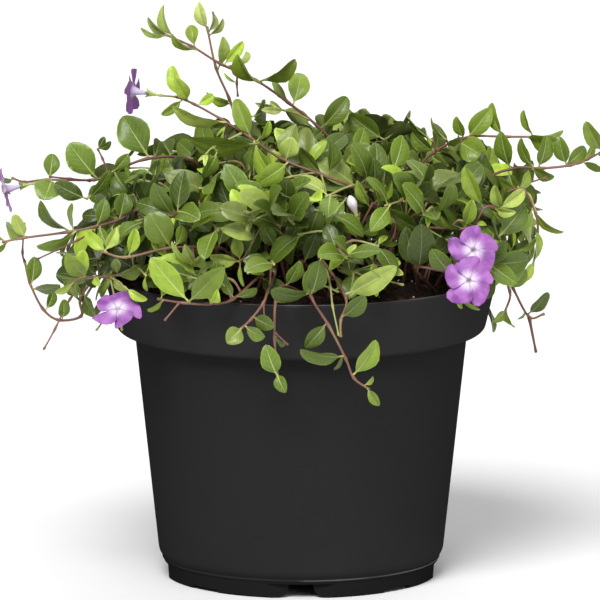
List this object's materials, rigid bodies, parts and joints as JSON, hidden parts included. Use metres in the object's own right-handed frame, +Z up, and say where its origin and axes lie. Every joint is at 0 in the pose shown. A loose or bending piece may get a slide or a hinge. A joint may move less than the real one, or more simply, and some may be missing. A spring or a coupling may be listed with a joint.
{
  "type": "potted lesser periwinkle",
  "caption": "Trailing evergreen plant with paired glossy leaves and violet pinwheel flowers, in a round black nursery pot.",
  "frame": {"origin": "centre of the circle on which the pot's foot ring stands, at the level of the surface that it stands on", "axes": "+Z up; -Y towards the viewer of the picture, the side with two open flowers at the right; +X to that viewer's right, along the plant's longest reach"},
  "size_m": [0.2989, 0.2237, 0.2777],
  "materials": {
    "pot_plastic": "moulded black polypropylene, satin",
    "peat_soil": "damp crumbly peat with fine bark",
    "evergreen_leaf": "glossy evergreen leaf with a paler midrib",
    "violet_petal": "velvety violet petal, white at the throat",
    "pale_bud": "rolled petals, white flushed pink"
  },
  "bodies": {
    "root": {"pot": "pot_plastic", "soil": "peat_soil", "runner_top_left": "evergreen_leaf", "runner_top": "evergreen_leaf", "runner_flowering_top": "evergreen_leaf", "runner_flowering_top_bloom": "violet_petal", "runner_left_flowering": "evergreen_leaf", "runner_left_flowering_bloom": "violet_petal", "runner_left": "evergreen_leaf", "runner_left_loop": "evergreen_leaf", "spray_left_front": "evergreen_leaf", "spray_left_front_bloom": "violet_petal", "spray_front_left": "evergreen_leaf", "runner_on_rim": "evergreen_leaf", "runner_front_hanging": "evergreen_leaf", "runner_front_long": "evergreen_leaf", "runner_front_trailing": "evergreen_leaf", "spray_front_middle": "evergreen_leaf", "spray_right_flowers": "evergreen_leaf", "spray_right_flowers_bloom": "violet_petal", "spray_right_low": "evergreen_leaf", "spray_right_low_bloom": "violet_petal", "runner_right_high": "evergreen_leaf", "runner_right": "evergreen_leaf", "runner_right_hanging": "evergreen_leaf", "runner_right_low": "evergreen_leaf", "spray_middle": "evergreen_leaf", "spray_middle_bud": "pale_bud", "runner_side_right": "evergreen_leaf", "runner_back_right": "evergreen_leaf", "runner_back_right_bloom": "violet_petal", "runner_back_left": "evergreen_leaf", "runner_back_left_bloom": "violet_petal", "runner_side_left": "evergreen_leaf", "leafy_stem_01": "evergreen_leaf", "leafy_stem_02": "evergreen_leaf", "leafy_stem_03": "evergreen_leaf", "leafy_stem_04": "evergreen_leaf", "leafy_stem_05": "evergreen_leaf", "leafy_stem_06": "evergreen_leaf", "leafy_stem_07": "evergreen_leaf", "leafy_stem_08": "evergreen_leaf", "leafy_stem_09": "evergreen_leaf", "leafy_stem_10": "evergreen_leaf", "leafy_stem_11": "evergreen_leaf", "leafy_stem_12": "evergreen_leaf", "leafy_stem_13": "evergreen_leaf", "leafy_stem_14": "evergreen_leaf", "leafy_stem_15": "evergreen_leaf", "leafy_stem_16": "evergreen_leaf", "leafy_stem_17": "evergreen_leaf", "leafy_stem_18": "evergreen_leaf", "leafy_stem_19": "evergreen_leaf", "leafy_stem_20": "evergreen_leaf", "leafy_stem_21": "evergreen_leaf", "leafy_stem_22": "evergreen_leaf", "leafy_stem_23": "evergreen_leaf", "leafy_stem_24": "evergreen_leaf", "leafy_stem_25": "evergreen_leaf"}
  },
  "joints": []
}
